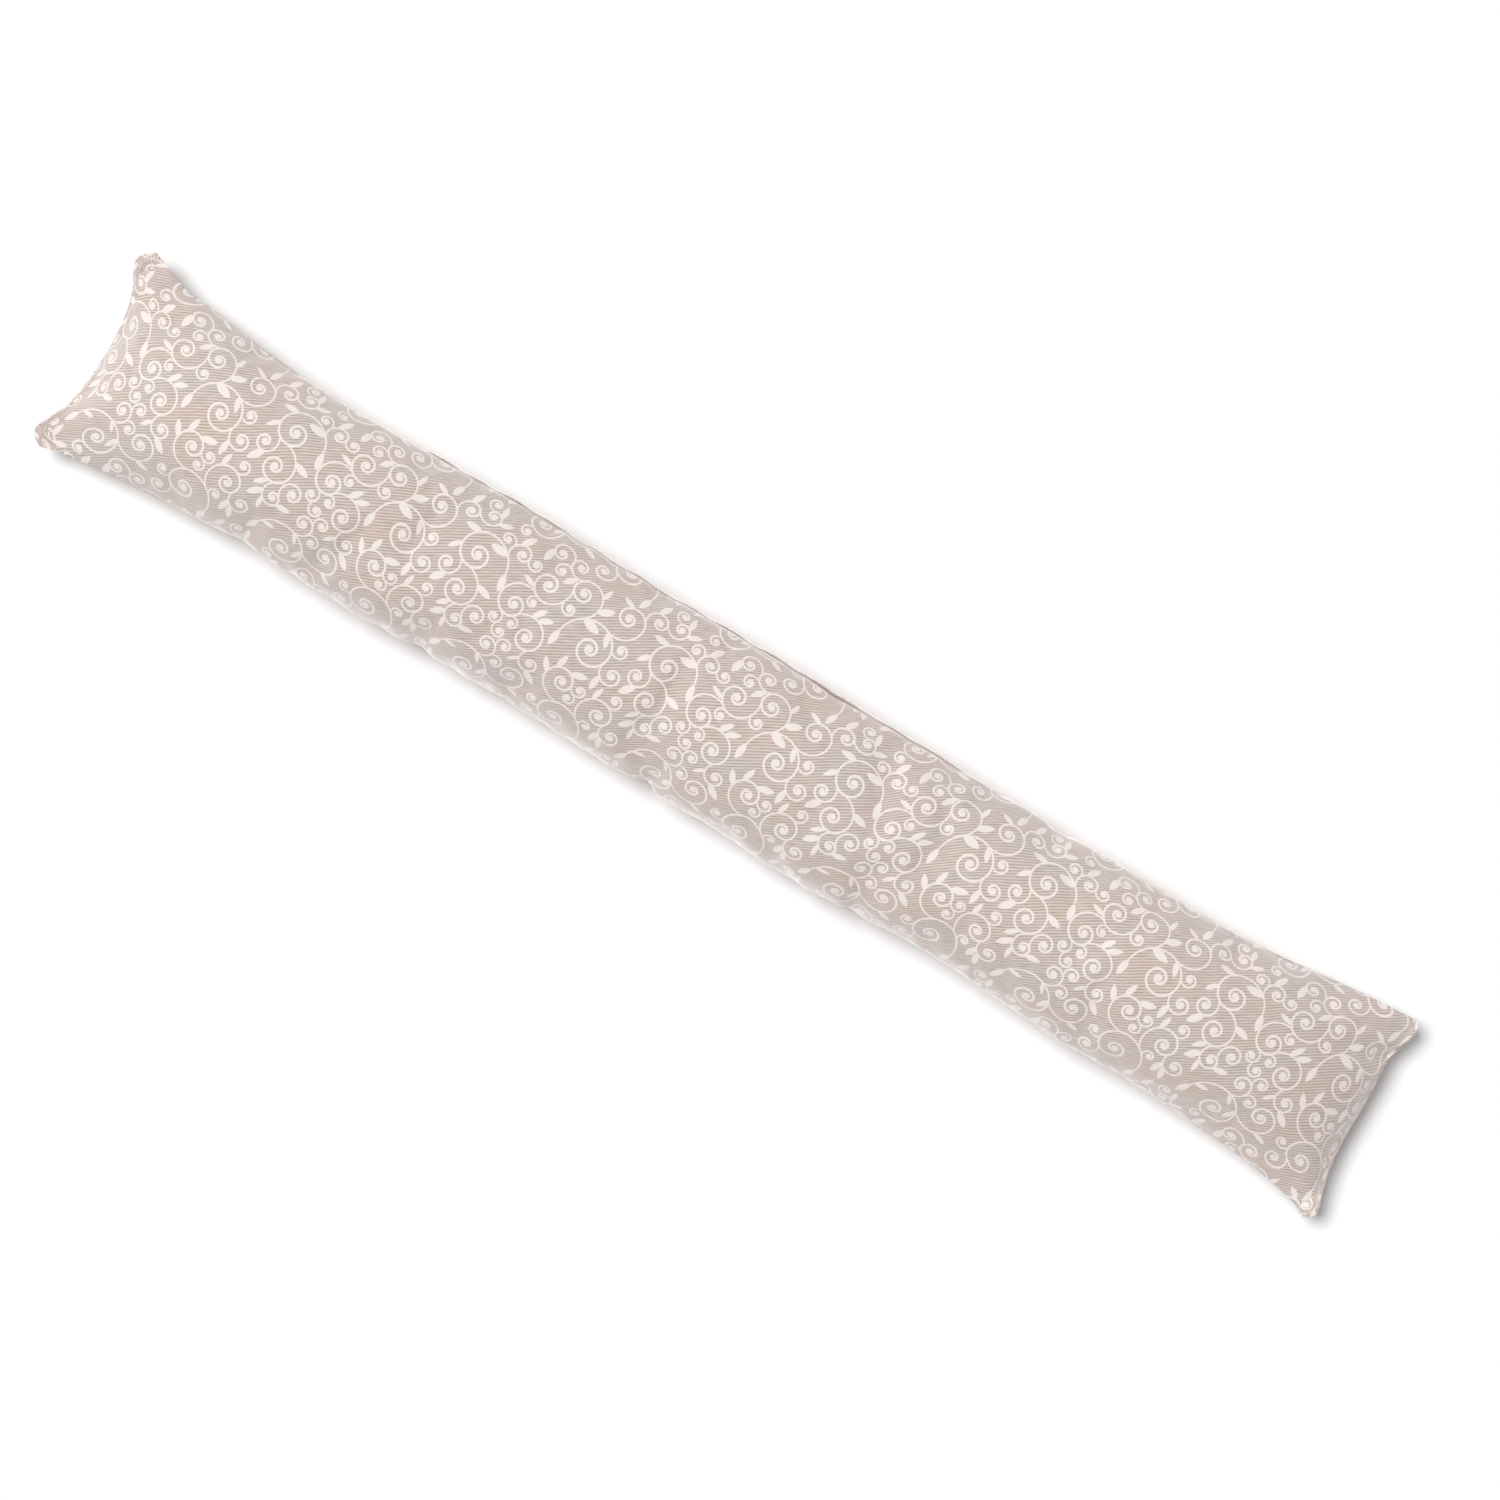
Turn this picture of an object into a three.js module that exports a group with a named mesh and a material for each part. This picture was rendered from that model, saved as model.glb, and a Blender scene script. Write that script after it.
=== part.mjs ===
// A draught excluder: a long filled cushion that lies along the foot of a door.
// Two equal strips of cloth are sewn together all round and filled, so the section is a full
// oval in the middle and thins to a flat seam with four blunt corners at the ends.
// Millimetres. X runs along the length, Y across it, and Z is up from the floor.

import * as THREE from 'three';
import { ParametricGeometry } from 'three/addons/geometries/ParametricGeometry.js';
import { mergeGeometries, mergeVertices } from 'three/addons/utils/BufferGeometryUtils.js';

// Places where the two end seams cross the middle line
const START_SEAM = -437;
const END_SEAM = 441.5;

// How much of the underside lies flat on the floor, as a share of the half width
const FLAT_SHARE = 0.3;

// Exponent of the section's curve: an ellipse where the cushion is full, a lens where it is thin
const ROUND_SECTION = 0.5;
const LENS_SECTION = 0.95;

// One row for each section, from end seam to end seam.
// along: place on the middle line. upper, lower: half widths out to the long seams on +Y and -Y.
// seamUpper, seamLower: heights of these seams. crown, under: heights of the top and the underside.
// fullness: 1 for a round section, 0 for a lens.
const SECTION_COLUMNS = ['along', 'upper', 'lower', 'seamUpper', 'seamLower', 'crown', 'under', 'fullness'];
const SECTIONS = [
  [-437, 70.0, 66.5, 23, 23, 23.0, 23.0, 0.00],
  [-428, 66.5, 63.5, 24, 22, 34.0, 13.5, 0.10],
  [-410, 60.5, 60.8, 25, 23, 46.5, 6.0, 0.30],
  [-383, 57.0, 57.2, 29, 25, 57.5, 1.6, 0.60],
  [-345, 53.2, 56.0, 34, 27, 65.5, 0.0, 0.80],
  [-300, 51.8, 54.8, 38, 29, 70.0, 0.0, 0.90],
  [-240, 53.4, 55.8, 40, 30, 72.0, 0.0, 0.95],
  [-170, 55.8, 54.6, 42, 30, 73.0, 0.0, 1.00],
  [-85, 55.2, 54.8, 42, 30, 72.5, 0.0, 1.00],
  [5, 56.0, 55.4, 42, 30, 73.0, 0.0, 1.00],
  [85, 55.6, 57.2, 41, 30, 73.0, 0.0, 1.00],
  [170, 55.2, 52.4, 40, 30, 72.0, 0.0, 1.00],
  [260, 55.8, 56.4, 38, 30, 71.5, 0.0, 0.95],
  [315, 56.0, 55.8, 36, 29, 69.0, 0.0, 0.90],
  [355, 57.8, 56.6, 33, 27, 64.5, 0.0, 0.80],
  [390, 61.8, 58.2, 28, 25, 56.5, 1.6, 0.60],
  [416, 64.6, 62.0, 25, 23, 46.0, 6.0, 0.30],
  [434, 66.0, 66.4, 24, 22, 33.5, 13.5, 0.10],
  [441.5, 66.6, 70.2, 23, 23, 23.0, 23.0, 0.00],
];

// Each corner stands out past the middle of its end seam, where the filling draws the cloth in.
// reach: how far. tip: where across the half width the reach is greatest. blunt: how far the seam
// turns back from there to the corner.
const CORNERS = {
  startUpper: { reach: 15.0, tip: 0.84, blunt: 10.0 },
  startLower: { reach: 15.0, tip: 0.86, blunt: 10.0 },
  endUpper: { reach: 5.0, tip: 0.92, blunt: 4.0 },
  endLower: { reach: 10.5, tip: 0.9, blunt: 7.0 },
};

// How far along the cushion a corner's reach is felt
const CORNER_FADE = 75;

// A small tuck in the end seam at +X. across: its place as a share of the half width.
const END_TUCK = { across: 0.55, depth: 3.5, spread: 0.16 };

// Puckers, where a tight stitch draws a long seam in.
// along: place. side: 1 on the +Y seam, -1 on the -Y seam. depth: how far in. spread: half length.
const PUCKERS = [
  { along: -309, side: -1, depth: 1.6, spread: 13 },
  { along: -187, side: -1, depth: 2.0, spread: 14 },
  { along: -122, side: -1, depth: 1.6, spread: 12 },
  { along: -27, side: -1, depth: 3.2, spread: 13 },
  { along: 122, side: -1, depth: 1.6, spread: 14 },
  { along: -414, side: 1, depth: 1.4, spread: 11 },
  { along: 45, side: 1, depth: 1.2, spread: 15 },
  { along: 200, side: 1, depth: 2.0, spread: 12 },
];

// Faces along the length and across each panel, and how near two points are to be one
const STEPS_ALONG = 112;
const STEPS_ACROSS = 16;
const SAME_POINT = 1e-3;

// How much closer together the sections stand towards the ends
const CROWD_ENDS = 0.06;

// The section at any place along the cushion, read smoothly between the rows
const sectionCurve = new THREE.CubicInterpolant(
  Float64Array.from(SECTIONS, ([along]) => along),
  Float64Array.from(SECTIONS.flat()),
  SECTION_COLUMNS.length,
);

function sectionAt(along) {
  const values = sectionCurve.evaluate(along);
  return Object.fromEntries(SECTION_COLUMNS.map((name, i) => [name, values[i]]));
}

// A smooth dip or bump, 1 at its middle
function bump(distance, spread) {
  return Math.exp(-((distance / spread) ** 2));
}

// How far an end seam stands out at a share across the half width
function cornerReach(corner, share) {
  const rise = Math.min(share / corner.tip, 1) ** 3;
  const turn = Math.max(share - corner.tip, 0) / (1 - corner.tip);
  return corner.reach * rise - corner.blunt * turn ** 2;
}

// How far the puckers draw a long seam in
function puckerDepth(along, side) {
  const near = PUCKERS.filter((pucker) => pucker.side === side);
  const pull = (pucker) => pucker.depth * bump(along - pucker.along, pucker.spread);
  return near.reduce((sum, pucker) => sum + pull(pucker), 0);
}

// A point on the front panel (up) or the back panel, u along the length and v across it
function panelPoint(u, v, up, target) {
  const stretch = u - CROWD_ENDS * Math.sin(2 * Math.PI * u);
  const along = THREE.MathUtils.lerp(START_SEAM, END_SEAM, stretch);
  const section = sectionAt(along);

  const across = Math.sin((v - 0.5) * Math.PI);
  const share = Math.abs(across);
  const side = across < 0 ? -1 : 1;

  const [startCorner, endCorner] =
    side > 0 ? [CORNERS.startUpper, CORNERS.endUpper] : [CORNERS.startLower, CORNERS.endLower];
  const startFade = Math.max(1 - (along - START_SEAM) / CORNER_FADE, 0) ** 2;
  const endFade = Math.max(1 - (END_SEAM - along) / CORNER_FADE, 0) ** 2;
  const tuck = END_TUCK.depth * bump(across - END_TUCK.across, END_TUCK.spread);
  const endReach = cornerReach(endCorner, share) - tuck;
  const outward = endReach * endFade - cornerReach(startCorner, share) * startFade;

  const seamHalf = (side > 0 ? section.upper : section.lower) - puckerDepth(along, side);
  const seamHeight = THREE.MathUtils.lerp(section.seamLower, section.seamUpper, (across + 1) / 2);

  const fullness = THREE.MathUtils.clamp(section.fullness, 0, 1);
  const exponent = THREE.MathUtils.lerp(LENS_SECTION, ROUND_SECTION, fullness);
  const fromFlat = up ? share : Math.max(share - FLAT_SHARE, 0) / (1 - FLAT_SHARE);
  const swell = Math.max(1 - fromFlat ** 2, 0) ** exponent;
  const middleHeight = up ? section.crown : Math.max(section.under, 0);

  target.set(along + outward, across * seamHalf, THREE.MathUtils.lerp(seamHeight, middleHeight, swell));
}

// The filled cover, one closed body: the front panel faces up, the back panel down
function filledCoverGeometry() {
  const front = new ParametricGeometry((u, v, p) => panelPoint(u, v, true, p), STEPS_ALONG, STEPS_ACROSS);
  const back = new ParametricGeometry((u, v, p) => panelPoint(1 - u, v, false, p), STEPS_ALONG, STEPS_ACROSS);
  const panels = [front, back];
  for (const panel of panels) {
    panel.deleteAttribute('normal');
    panel.deleteAttribute('uv');
  }
  const cover = mergeVertices(mergeGeometries(panels), SAME_POINT);

  // The origin is on the floor under the middle of the cushion
  cover.computeBoundingBox();
  const middle = cover.boundingBox.getCenter(new THREE.Vector3());
  cover.translate(-middle.x, -middle.y, 0);
  cover.computeVertexNormals();
  return cover;
}

const cloth = new THREE.MeshStandardMaterial({
  name: 'cover_cloth',
  color: 0xd3c6c0,
  roughness: 0.9,
  metalness: 0,
});

const filledCover = new THREE.Mesh(filledCoverGeometry(), cloth);
filledCover.name = 'filled_cover';

const draughtExcluder = new THREE.Group();
draughtExcluder.name = 'draught_excluder';
draughtExcluder.add(filledCover);

export default draughtExcluder;
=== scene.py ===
# %% [markdown]
# # A draught excluder
#
# A draught excluder is a long slim cushion that lies along the foot of a door and keeps cold air out.
# Two equal strips of patterned cloth are sewn together all round, turned right side out and stuffed.
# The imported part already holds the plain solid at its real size, in metres, lying on the floor.
# This lesson keeps that size and gives the solid its sewn cloth cover.

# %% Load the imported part
import math
import random

import bmesh
import bpy
import numpy as np
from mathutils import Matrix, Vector
from mathutils.bvhtree import BVHTree


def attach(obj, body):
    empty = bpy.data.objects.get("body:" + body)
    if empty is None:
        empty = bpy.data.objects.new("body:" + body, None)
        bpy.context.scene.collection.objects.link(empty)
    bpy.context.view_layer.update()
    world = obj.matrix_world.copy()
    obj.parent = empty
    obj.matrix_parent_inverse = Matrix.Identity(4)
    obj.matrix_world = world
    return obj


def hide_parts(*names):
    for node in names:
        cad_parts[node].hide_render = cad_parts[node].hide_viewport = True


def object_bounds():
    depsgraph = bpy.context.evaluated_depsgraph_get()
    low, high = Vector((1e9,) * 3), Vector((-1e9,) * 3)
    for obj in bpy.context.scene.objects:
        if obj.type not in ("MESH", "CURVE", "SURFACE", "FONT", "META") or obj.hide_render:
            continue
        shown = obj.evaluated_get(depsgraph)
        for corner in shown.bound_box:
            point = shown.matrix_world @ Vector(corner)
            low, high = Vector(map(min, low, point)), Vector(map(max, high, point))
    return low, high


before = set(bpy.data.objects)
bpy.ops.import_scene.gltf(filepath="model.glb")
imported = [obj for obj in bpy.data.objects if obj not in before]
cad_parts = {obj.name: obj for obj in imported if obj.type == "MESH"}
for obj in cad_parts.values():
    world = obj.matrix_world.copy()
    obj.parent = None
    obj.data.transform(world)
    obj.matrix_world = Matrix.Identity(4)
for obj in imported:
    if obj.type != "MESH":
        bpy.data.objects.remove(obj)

solid_low, solid_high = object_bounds()
solid_size = solid_high - solid_low
print("solid, mm:", [round(side * 1000, 1) for side in solid_size])

# %% [markdown]
# ## Camera
#
# The cushion is looked at from straight above, lying aslant: its left end is high in the picture.
# Turning the camera does the same as turning the cushion, and leaves the cushion in line with the axes.
# A long lens far away keeps the sides of the cushion nearly parallel, as they are in the picture.

# %% Camera straight above
PICTURE_WIDTH = 0.9
MIDDLE_HEIGHT = 0.036
CAMERA_RISE = 3.0
CAMERA_TURN = math.radians(31.13)
CAMERA_PLACE = (0.0177, -0.0016, MIDDLE_HEIGHT + CAMERA_RISE)

bpy.ops.object.select_all(action="DESELECT")
bpy.ops.object.camera_add(location=CAMERA_PLACE, rotation=(0, 0, CAMERA_TURN))
camera = bpy.context.object
camera.data.lens = camera.data.sensor_width * CAMERA_RISE / PICTURE_WIDTH
bpy.context.scene.camera = camera
print("camera lens, mm:", round(camera.data.lens, 1))

# %% [markdown]
# ## The sewn edge
#
# On the real cushion the seam runs all round, and the four corners are where the two strips were cut.
# The seam could be drawn again by hand, but the solid already has it: it is the line where faces that
# look up meet faces that look down. Reading it from the solid keeps the cover exactly in its place.
# The line is then cut at the corners into four runs, two long sides and two ends.

# %% Find the sewn edge on the solid
SAME_PLACE = 1e-6

form = bmesh.new()
form.from_mesh(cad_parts["filled_cover"].data)
bmesh.ops.remove_doubles(form, verts=form.verts[:], dist=SAME_PLACE)
form.normal_update()
form_surface = BVHTree.FromBMesh(form)

seam_neighbours = {}
for edge in form.edges:
    looks_up = [face.normal.z > 0 for face in edge.link_faces]
    if looks_up[0] != looks_up[1]:
        first, second = edge.verts
        seam_neighbours.setdefault(first, []).append(second)
        seam_neighbours.setdefault(second, []).append(first)
print("points on the sewn edge:", len(seam_neighbours))

# %% Cut the sewn edge at its corners
CORNER_ZONE = 0.93


def corner(end, side):
    """The point of the sewn edge furthest out to one side, near one end."""
    near = [point for point in seam_neighbours if point.co.x * end > CORNER_ZONE * solid_high.x]
    return max(near, key=lambda point: point.co.y * side)


start_lower = corner(-1, -1)
start_upper = corner(-1, 1)
end_lower = corner(1, -1)
end_upper = corner(1, 1)
corners = [start_lower, start_upper, end_lower, end_upper]


def seam_run(first, last):
    """The sewn edge from one corner to the next, as rows of x, y and z."""
    for step in seam_neighbours[first]:
        run = [first, step]
        while run[-1] not in corners:
            onward = [point for point in seam_neighbours[run[-1]] if point != run[-2]]
            run.append(onward[0])
        if run[-1] == last:
            return np.array([point.co for point in run])


lower_run = seam_run(start_lower, end_lower)
upper_run = seam_run(start_upper, end_upper)
start_run = seam_run(start_lower, start_upper)
end_run = seam_run(end_lower, end_upper)
print("points on each run:", [len(run) for run in (lower_run, upper_run, start_run, end_run)])

# %% [markdown]
# ## Two panels
#
# Each panel is one strip of cloth. A plane with a fine grid is the cloth's usual start in Blender.
# The grid is spread between the four runs of the sewn edge, its lines crowded towards the long seams,
# where the cloth turns over, and each point is then dropped on to the solid, from above for the front
# panel and from below for the back. So both panels begin as stuffed cloth, not as flat sheets.

# %% Spread a grid between the seams
ALONG_FACES = 190
ACROSS_FACES = 32
CROWD_ENDS = 0.05
END_FADE = 0.075


def points_on(run, shares):
    """Points at the given shares, from 0 to 1, of a run's length."""
    steps = np.linalg.norm(np.diff(run, axis=0), axis=1)
    length = np.concatenate([[0.0], np.cumsum(steps)])
    return np.stack([np.interp(shares, length / length[-1], run[:, axis]) for axis in range(3)], axis=-1)


even_share = np.linspace(0, 1, ALONG_FACES + 1)
along_share = even_share - CROWD_ENDS * np.sin(2 * np.pi * even_share)
across_share = (1 - np.cos(np.linspace(0, np.pi, ACROSS_FACES + 1))) / 2

lower_side = points_on(lower_run, along_share)[:, None, :]
upper_side = points_on(upper_run, along_share)[:, None, :]
ruled = lower_side + (upper_side - lower_side) * across_share[None, :, None]

way = along_share[:, None, None] * solid_size.x
start_fade = np.clip(1 - way / END_FADE, 0, 1) ** 2
end_fade = np.clip(1 - (solid_size.x - way) / END_FADE, 0, 1) ** 2
start_bow = points_on(start_run, across_share) - ruled[0]
end_bow = points_on(end_run, across_share) - ruled[-1]
spread = ruled + start_bow * start_fade + end_bow * end_fade
print("grid points:", spread.shape[0], "by", spread.shape[1])

# %% Drop the grid on to the solid


def drop_on(side):
    """The spread grid laid on the solid, from above with side 1 and from below with side -1."""
    laid = spread.copy()
    for i in range(1, ALONG_FACES):
        for j in range(1, ACROSS_FACES):
            x, y, z = spread[i, j]
            hit = form_surface.ray_cast(Vector((x, y, side)), Vector((0, 0, -side)))[0]
            if hit is None:
                hit = form_surface.find_nearest(Vector((x, y, z)))[0]
            laid[i, j] = hit
    return laid


front_points = drop_on(1)
back_points = drop_on(-1)
print("front, highest mm:", round(front_points[..., 2].max() * 1000, 1))
print("back, lowest mm:", round(back_points[..., 2].min() * 1000, 1))

# %% [markdown]
# ## A little roll
#
# The cushion has rolled a little as it was laid down. Along the middle, its far seam has come up to
# where it is seen from above and its near seam has gone under. The form stays as it is: only the
# place of the seams on it moves. So each section of the solid is walked round as a closed loop, and
# the loop is cut into front and back again a few millimetres further on.

# %% Roll the cover round its filling
ROLL = 0.007
ROLL_START = -0.19
ROLL_END = 0.09
ROLL_FADE = 0.09


def ease(values):
    """A smooth step from 0 to 1."""
    share = np.clip(values, 0, 1)
    return share * share * (3 - 2 * share)


def roll_at(x):
    """How far the cover is rolled at a place along the cushion."""
    return ROLL * ease((x - ROLL_START) / ROLL_FADE + 1) * ease((ROLL_END - x) / ROLL_FADE + 1)


def cut_again(front_row, back_row):
    """One section's front and back, evenly spaced between the rolled seams."""
    loop = np.concatenate([front_row, back_row[-2::-1]])
    steps = np.linalg.norm(np.diff(loop, axis=0), axis=1)
    length = np.concatenate([[0.0], np.cumsum(steps)])
    front_length = length[ACROSS_FACES]
    seam = -roll_at(front_row[:, 0].mean())
    shares = np.linspace(0, 1, ACROSS_FACES + 1)
    cuts = []
    for way_round in (front_length, front_length - length[-1]):
        places = (seam + way_round * shares) % length[-1]
        cuts.append(np.stack([np.interp(places, length, loop[:, axis]) for axis in range(3)], axis=-1))
    return cuts


for i in range(1, ALONG_FACES):
    front_points[i], back_points[i] = cut_again(front_points[i], back_points[i])
rolled_rows = [row for row in front_points if roll_at(row[:, 0].mean()) > ROLL / 2]
print("rolled sections:", len(rolled_rows))

# %% [markdown]
# ## Cloth measure
#
# A woven figure follows the cloth, not the room, so the panels need a map that says where each point
# was on the flat strip. Unwrapping by operator would give one, but not in real lengths. Here the
# lengths are measured on the grid itself: along the middle of the strip, and across it from the middle.
# The map is in metres. The back panel lies further across the same roll of cloth.

# %% Measure the cloth
BACK_SHIFT = 0.2


def cloth_measure(points):
    """How far along the strip each line of the grid is, and how far across it each point is."""
    along_steps = np.linalg.norm(np.diff(points, axis=0), axis=2).mean(axis=1)
    along = np.concatenate([[0.0], np.cumsum(along_steps)])
    across_steps = np.linalg.norm(np.diff(points, axis=1), axis=2)
    across = np.concatenate([np.zeros((len(points), 1)), np.cumsum(across_steps, axis=1)], axis=1)
    return along - along[-1] / 2, across


def seam_distance(along, across):
    """The shortest way over the cloth from each point to the sewn edge."""
    to_end = np.minimum(along - along[0], along[-1] - along)[:, None]
    to_side = np.minimum(across, across[:, -1:] - across)
    return np.minimum(to_end, to_side)


front_along, front_across = cloth_measure(front_points)
print("strip, mm:", round(np.ptp(front_along) * 1000), "by", round(front_across[:, -1].mean() * 1000))

# %% Make each panel from a grid


def make_panel(name, points, side):
    """One strip of cloth on its points, with its cloth map, its sewn edge and the way to it."""
    bpy.ops.object.select_all(action="DESELECT")
    bpy.ops.mesh.primitive_grid_add(
        x_subdivisions=ALONG_FACES, y_subdivisions=ACROSS_FACES, size=1, calc_uvs=False
    )
    panel = bpy.context.object
    panel.name = name
    cloth = panel.data
    flat = np.array([vertex.co for vertex in cloth.vertices])
    i = np.rint((flat[:, 0] + 0.5) * ALONG_FACES).astype(int)
    j = np.rint((flat[:, 1] + 0.5) * ACROSS_FACES).astype(int)
    cloth.vertices.foreach_set("co", points[i, j].ravel())

    along, across = cloth_measure(points)
    middle = across - across[:, -1:] / 2
    place = np.stack([side * along[i], middle[i, j] + (0 if side > 0 else BACK_SHIFT)], axis=1)
    loop_vertex = np.array([loop.vertex_index for loop in cloth.loops])
    cloth.uv_layers.new(name="cloth").data.foreach_set("uv", place[loop_vertex].ravel())

    to_seam = seam_distance(along, across)[i, j]
    cloth.attributes.new("from_seam", "FLOAT", "POINT").data.foreach_set("value", to_seam)
    edge = panel.vertex_groups.new(name="sewn_edge")
    edge.add(np.flatnonzero(to_seam < SAME_PLACE).tolist(), 1.0, "REPLACE")
    return panel


front_panel = make_panel("front_panel", front_points, 1)
back_panel = make_panel("back_panel", back_points, -1)
print("panels:", front_panel.name, back_panel.name, len(front_panel.data.polygons), "faces each")

# %% Sew the panels together
bpy.ops.object.select_all(action="DESELECT")
back_panel.select_set(True)
front_panel.select_set(True)
bpy.context.view_layer.objects.active = front_panel
bpy.ops.object.join()
cover = bpy.context.object
cover.name = "stuffed_cover"
cover.data.name = "stuffed_cover"

bpy.ops.object.mode_set(mode="EDIT")
bpy.ops.mesh.select_all(action="SELECT")
bpy.ops.mesh.remove_doubles(threshold=SAME_PLACE)
bpy.ops.mesh.normals_make_consistent(inside=False)
bpy.ops.object.mode_set(mode="OBJECT")
bpy.ops.object.transform_apply(location=True, rotation=True, scale=True)
print("sewn cover:", len(cover.data.vertices), "points,", len(cover.data.polygons), "faces")

# %% [markdown]
# ## Filling
#
# The filling presses the cloth out from inside. Blender's cloth simulation does this with pressure.
# The sewn edge is pinned, because it is already where it lies on the real cushion, and the cloth is
# let out a little, so it settles in soft waves between the seams. How far a point may move is capped,
# so the cushion keeps its size, and the underside is pressed flat again by the floor.

# %% Fill the cover
FILLING_PRESSURE = 4.0
CLOTH_EASE = 0.012
SETTLE_FRAMES = 20
MOST_MOVE = 0.004


def read_points(piece):
    """The piece's points as rows of x, y and z."""
    rows = np.zeros(len(piece.data.vertices) * 3)
    piece.data.vertices.foreach_get("co", rows)
    return rows.reshape(-1, 3)


def write_points(piece, rows):
    """Puts rows of x, y and z back into the piece."""
    piece.data.vertices.foreach_set("co", rows.ravel())
    piece.data.update()


def fill(piece):
    """Swells the piece by cloth simulation and applies the result."""
    filling = piece.modifiers.new("filling", "CLOTH")
    filling.settings.quality = 6
    filling.settings.mass = 0.15
    filling.settings.tension_stiffness = 15
    filling.settings.compression_stiffness = 15
    filling.settings.shear_stiffness = 5
    filling.settings.bending_stiffness = 0.5
    filling.settings.air_damping = 2
    filling.settings.use_pressure = True
    filling.settings.uniform_pressure_force = FILLING_PRESSURE
    filling.settings.shrink_min = -CLOTH_EASE
    filling.settings.vertex_group_mass = "sewn_edge"
    filling.settings.effector_weights.gravity = 0
    filling.collision_settings.use_collision = False
    for moment in range(1, SETTLE_FRAMES + 1):
        bpy.context.scene.frame_set(moment)
    bpy.ops.object.modifier_apply(modifier="filling")
    bpy.context.scene.frame_set(1)


before = read_points(cover)
fill(cover)
moved = read_points(cover) - before
distance = np.linalg.norm(moved, axis=1)
print("cloth moved, mm: most", round(distance.max() * 1000, 1), "mean", round(distance.mean() * 1000, 2))

held_back = np.minimum(1, MOST_MOVE / np.maximum(distance, SAME_PLACE))
settled = before + moved * held_back[:, None]
settled[:, 2] = np.maximum(settled[:, 2], 0)
write_points(cover, settled)

# %% [markdown]
# ## Fine cloth
#
# One subdivision gives the mesh enough points for small folds. The seam is then drawn in, as thread
# draws in a turned seam, so the two panels stand a little proud of it on both sides. The ends are let
# out by a few millimetres, because the real cushion reaches a little further there than the solid.
# Short gathers run off the seam where the stitches bunch the cloth. All this could be sculpted, but a
# few named values and a sum of waves do the same each time the script runs.

# %% Subdivide the cover


def seam_edges():
    """For each edge of the cover, whether the two panels meet there, and which faces are the back."""
    places = np.zeros(len(cover.data.loops) * 2)
    cover.data.uv_layers["cloth"].data.foreach_get("uv", places)
    back_faces = places.reshape(-1, 4, 2)[..., 1].mean(axis=1) > BACK_SHIFT / 2
    loop_edges = np.zeros(len(cover.data.loops), dtype=int)
    cover.data.loops.foreach_get("edge_index", loop_edges)
    has_front = np.zeros(len(cover.data.edges), dtype=bool)
    has_back = np.zeros(len(cover.data.edges), dtype=bool)
    has_front[loop_edges[np.repeat(~back_faces, 4)]] = True
    has_back[loop_edges[np.repeat(back_faces, 4)]] = True
    return has_front & has_back, back_faces


sewn, back_faces = seam_edges()
cover.data.attributes.new("crease_edge", "FLOAT", "EDGE").data.foreach_set("value", sewn.astype(float))
crease_points = cover.data.attributes.new("crease_vert", "FLOAT", "POINT")
for point in corners:
    apart = np.linalg.norm(before - np.array(point.co), axis=1)
    crease_points.data[int(apart.argmin())].value = 1.0
bpy.ops.object.select_all(action="DESELECT")
cover.select_set(True)
bpy.context.view_layer.objects.active = cover
finer = cover.modifiers.new("finer", "SUBSURF")
finer.levels = 1
finer.render_levels = 1
bpy.ops.object.modifier_apply(modifier="finer")
print("fine cover:", len(cover.data.polygons), "faces")

# %% Draw the seam in
SEAM_DEPTH = 0.0016
SEAM_REACH = 0.008
FULL_FROM = 0.40
FULL_TO = 0.30
SEAM_LEVEL = 0.036


def attribute_rows(name):
    """One of the cover's point attributes as an array."""
    layer = cover.data.attributes[name]
    rows = np.zeros(len(layer.data))
    layer.data.foreach_get("value", rows)
    return rows


points = read_points(cover)
from_seam = attribute_rows("from_seam")
full = ease((FULL_FROM - np.abs(points[:, 0])) / (FULL_FROM - FULL_TO))
near_seam = np.clip(1 - from_seam / SEAM_REACH, 0, 1) ** 2
inward = np.stack([np.zeros(len(points)), -points[:, 1], SEAM_LEVEL - points[:, 2]], axis=1)
inward /= np.linalg.norm(inward, axis=1)[:, None]
points += inward * (SEAM_DEPTH * near_seam * full)[:, None]
write_points(cover, points)
cover.data.attributes.new("full_part", "FLOAT", "POINT").data.foreach_set("value", full)
print("points drawn in at the seam:", int((near_seam * full > 0.01).sum()))

# %% Let the ends out
END_ZONE = 0.36
END_FADE_IN = 0.08
START_OUT = 0.0012
END_OUT = 0.0036

points = read_points(cover)
points[:, 0] += END_OUT * ease((points[:, 0] - END_ZONE) / END_FADE_IN)
points[:, 0] -= START_OUT * ease((-points[:, 0] - END_ZONE) / END_FADE_IN)
write_points(cover, points)
print("ends, mm:", round(points[:, 0].min() * 1000, 1), round(points[:, 0].max() * 1000, 1))

# %% Gather the cloth along the seam
GATHER_REACH = 0.018
SEAM_KEPT = 0.004
SIDE_GATHER = 0.0004
END_GATHER = 0.0008
SIDE_LENGTHS = (0.029, 0.047, 0.071)
END_LENGTHS = (0.011, 0.017, 0.026)
WAVE_GAIN = 1.4
END_GATHER_FROM = 0.40
END_GATHER_FADE = 0.04
GATHER_SEED = 7

gather_draw = random.Random(GATHER_SEED)


def gathers(place, lengths):
    """Uneven waves along a seam, between about -1 and 1."""
    total = np.zeros(len(place))
    for length in lengths:
        total += np.sin(2 * np.pi * (place / length + gather_draw.random()))
    return total / len(lengths) * WAVE_GAIN


def normal_rows():
    """The cover's point normals as rows of x, y and z."""
    rows = np.zeros(len(cover.data.vertices) * 3)
    cover.data.vertex_normals.foreach_get("vector", rows)
    return rows.reshape(-1, 3)


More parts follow.
